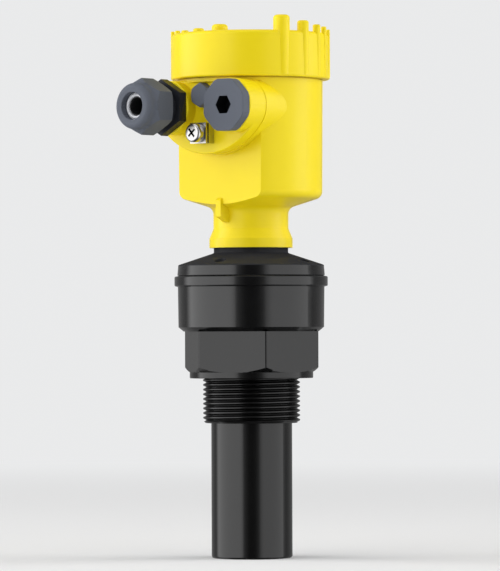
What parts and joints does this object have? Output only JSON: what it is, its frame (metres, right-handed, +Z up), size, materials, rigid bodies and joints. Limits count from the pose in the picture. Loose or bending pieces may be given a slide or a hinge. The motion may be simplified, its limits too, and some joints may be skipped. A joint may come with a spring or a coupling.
{
  "type": "ultrasonic level sensor",
  "caption": "Ultrasonic level sensor: threaded fitting with hexagon and sound tube, black collar, swivelling yellow housing with screw lid, cable gland, blind plug and earth terminal.",
  "frame": {"origin": "centre of the sealing face under the disc, where the threaded stub begins", "axes": "+Z up the sensor's axis to the housing, the cable ports point to -Y, the cable gland lies on the -X side"},
  "size_m": [0.0786, 0.1049, 0.2651],
  "materials": {
    "fluoropolymer_black": "glossy moulded",
    "collar_black": "satin moulded",
    "housing_yellow": "satin moulded",
    "gland_grey": "satin moulded",
    "insert_rubber": "matt",
    "seal_rubber": "matt",
    "nickel": "bright nickel plate",
    "screw_steel": "plain",
    "ceramic": "fired",
    "matching_grey": "matt",
    "potting_black": "matt",
    "module_black": "satin",
    "board_green": "solder mask",
    "terminal_grey": "satin",
    "membrane_white": "matt"
  },
  "bodies": {
    "process_side": {"process_fitting": "fluoropolymer_black", "transducer_tube": "fluoropolymer_black", "matching_layer": "matching_grey", "piezo_disc": "ceramic", "damping_block": "potting_black", "temperature_sensor": "screw_steel", "collar": "collar_black", "collar_gasket": "seal_rubber", "collar_cap": "collar_black", "cap_screws": "screw_steel", "swivel_seal": "seal_rubber", "retaining_ring": "screw_steel"},
    "housing": {"housing": "housing_yellow", "electronics_module": "module_black", "contact_board": "board_green", "terminal_blocks": "terminal_grey", "module_screws": "screw_steel", "gland_body": "gland_grey", "gland_seal": "seal_rubber", "breather": "gland_grey", "breather_membrane": "membrane_white", "earth_base": "nickel"},
    "lid_lift": {"lid_seal": "seal_rubber"},
    "lid": {"lid": "housing_yellow"},
    "insert_slide": {"gland_insert": "seal_rubber", "gland_ring": "insert_rubber"},
    "gland_nut": {"gland_nut": "gland_grey"},
    "plug_lift": {"plug_seal": "seal_rubber"},
    "blind_plug": {"blind_plug": "gland_grey"},
    "earth_clamp": {"earth_clamp_plates": "nickel", "earth_washer": "screw_steel", "earth_lock_washer": "screw_steel"},
    "earth_screw": {"earth_screw": "nickel"}
  },
  "joints": [
    {"name": "housing_swivel", "type": "hinge", "parent": "process_side", "child": "housing", "pos_m": [0, 0, 0.0641], "axis": [0, 0, 1], "range_deg": [-165, 165]},
    {"name": "lid_rise", "type": "slide", "parent": "housing", "child": "lid_lift", "axis": [0, 0, 1], "range_m": [0, 0.0101]},
    {"name": "lid_turn", "type": "hinge", "parent": "lid_lift", "child": "lid", "pos_m": [0, 0, 0.158], "axis": [0, 0, 1], "range_deg": [0, 900]},
    {"name": "insert_travel", "type": "slide", "parent": "housing", "child": "insert_slide", "axis": [0, -1, 0], "range_m": [0, 0.0046]},
    {"name": "gland_nut_turn", "type": "hinge", "parent": "insert_slide", "child": "gland_nut", "pos_m": [-0.01985, -0.055, 0.1324], "axis": [0, -1, 0], "range_deg": [0, 1080]},
    {"name": "plug_travel", "type": "slide", "parent": "housing", "child": "plug_lift", "axis": [0, -1, 0], "range_m": [0, 0.0061]},
    {"name": "plug_turn", "type": "hinge", "parent": "plug_lift", "child": "blind_plug", "pos_m": [0.01985, -0.0394, 0.1324], "axis": [0, -1, 0], "range_deg": [0, 1440]},
    {"name": "clamp_travel", "type": "slide", "parent": "housing", "child": "earth_clamp", "axis": [0, -1, 0], "range_m": [0, 0.004]},
    {"name": "earth_screw_turn", "type": "hinge", "parent": "earth_clamp", "child": "earth_screw", "pos_m": [0, -0.041, 0.1194], "axis": [0, -1, 0], "range_deg": [0, 1820]}
  ],
  "couplings": [
    {"joint": "lid_rise", "follows": "lid_turn", "m_per_rad": 0.00063662},
    {"joint": "insert_travel", "follows": "gland_nut_turn", "m_per_rad": 0.00023873},
    {"joint": "plug_travel", "follows": "plug_turn", "m_per_rad": 0.00023873},
    {"joint": "earth_screw_turn", "follows": "clamp_travel", "rad_per_m": 7854}
  ]
}
